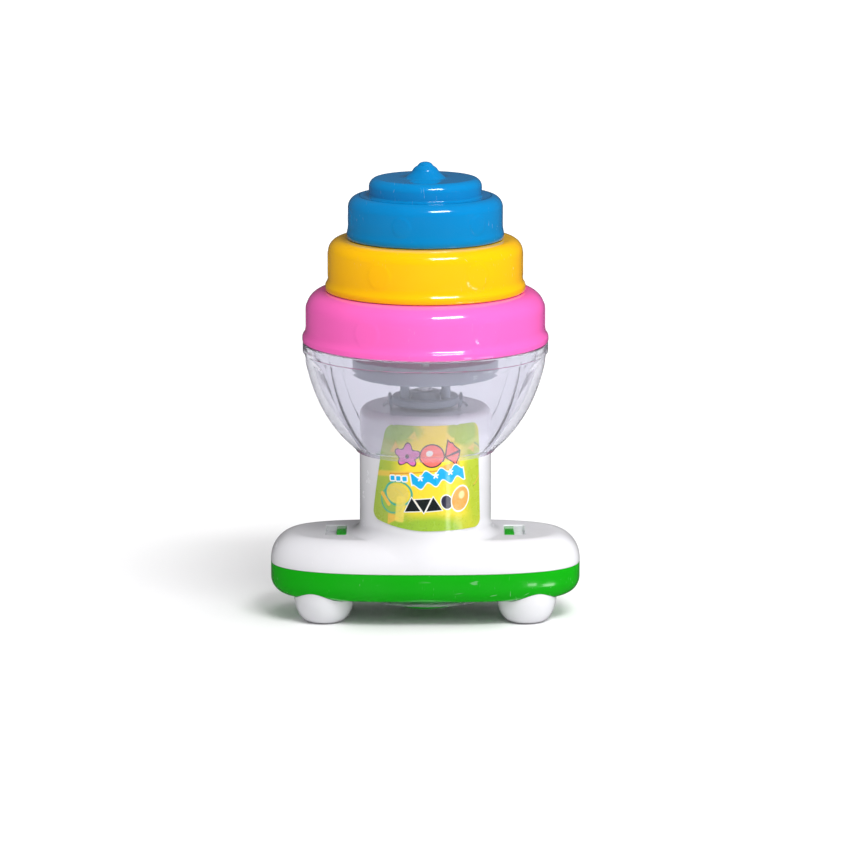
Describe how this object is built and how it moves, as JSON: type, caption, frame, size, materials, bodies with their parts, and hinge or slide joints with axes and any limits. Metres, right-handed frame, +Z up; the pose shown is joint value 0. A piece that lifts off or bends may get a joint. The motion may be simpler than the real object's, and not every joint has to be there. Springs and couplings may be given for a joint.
{
  "type": "spinning top",
  "caption": "Spinning top of stacked round tiers on a clear fluted bowl, plugged on a wind-up hand launcher with a wide two-tone base, rounded feet and a release button.",
  "frame": {"origin": "on the floor, on the axis of the stem and the top", "axes": "+Z up along the spin axis, -Y to the front where the label is, +X to the right seen from the front"},
  "size_m": [0.085, 0.0672, 0.1255],
  "materials": {
    "white_plastic": "gloss, moulded",
    "green_plastic": "gloss, moulded",
    "pink_plastic": "gloss, moulded",
    "yellow_plastic": "gloss, moulded",
    "blue_plastic": "gloss, moulded",
    "clear_plastic": "transparent, polished",
    "grey_plastic": "satin, moulded",
    "label_film": "printed gloss film",
    "steel": "plain"
  },
  "bodies": {
    "launcher": {"handle_cover": "white_plastic", "handle_tray": "green_plastic", "button_bezel": "clear_plastic", "stem_label": "label_film", "bearing_bridge": "grey_plastic", "lower_bush": "grey_plastic", "upper_bush": "grey_plastic", "latch_pin": "steel", "winding_spring": "steel", "button_spring": "steel", "latch_spring": "steel", "foot_front_left": "white_plastic", "foot_front_right": "white_plastic", "foot_rear_left": "white_plastic", "foot_rear_right": "white_plastic", "case_screw_left": "steel", "case_screw_right": "steel", "bridge_screw_left": "steel", "bridge_screw_right": "steel"},
    "spindle": {"spindle_shaft": "steel", "ratchet_wheel": "grey_plastic", "retaining_clip": "steel", "drive_head": "grey_plastic"},
    "button": {"release_button": "green_plastic"},
    "latch": {"latch_lever": "white_plastic"},
    "top": {"clear_dome": "clear_plastic", "pink_tier": "pink_plastic", "yellow_tier": "yellow_plastic", "blue_tier": "blue_plastic", "catch_plate": "grey_plastic", "tie_screw": "steel", "plate_screw_1": "steel", "plate_screw_2": "steel", "plate_screw_3": "steel"}
  },
  "joints": [
    {"name": "spindle_spin", "type": "hinge", "parent": "launcher", "child": "spindle", "pos_m": [0, 0, 0.058], "axis": [0, 0, 1], "continuous": true},
    {"name": "top_lift_off", "type": "slide", "parent": "spindle", "child": "top", "axis": [0, 0, 1], "range_m": [0, 0.04]},
    {"name": "button_press", "type": "slide", "parent": "launcher", "child": "button", "axis": [0, 0, 1], "range_m": [0, 0.002], "stiffness_N_per_m": 400, "springref_m": -0.002, "deforming": ["button_spring"]},
    {"name": "latch_swing", "type": "hinge", "parent": "launcher", "child": "latch", "pos_m": [0.0105, -0.008, 0.0197], "axis": [0, 0, 1], "range_deg": [-15, 0]}
  ],
  "couplings": [
    {"joint": "latch_swing", "follows": "button_press", "rad_per_m": -125}
  ]
}
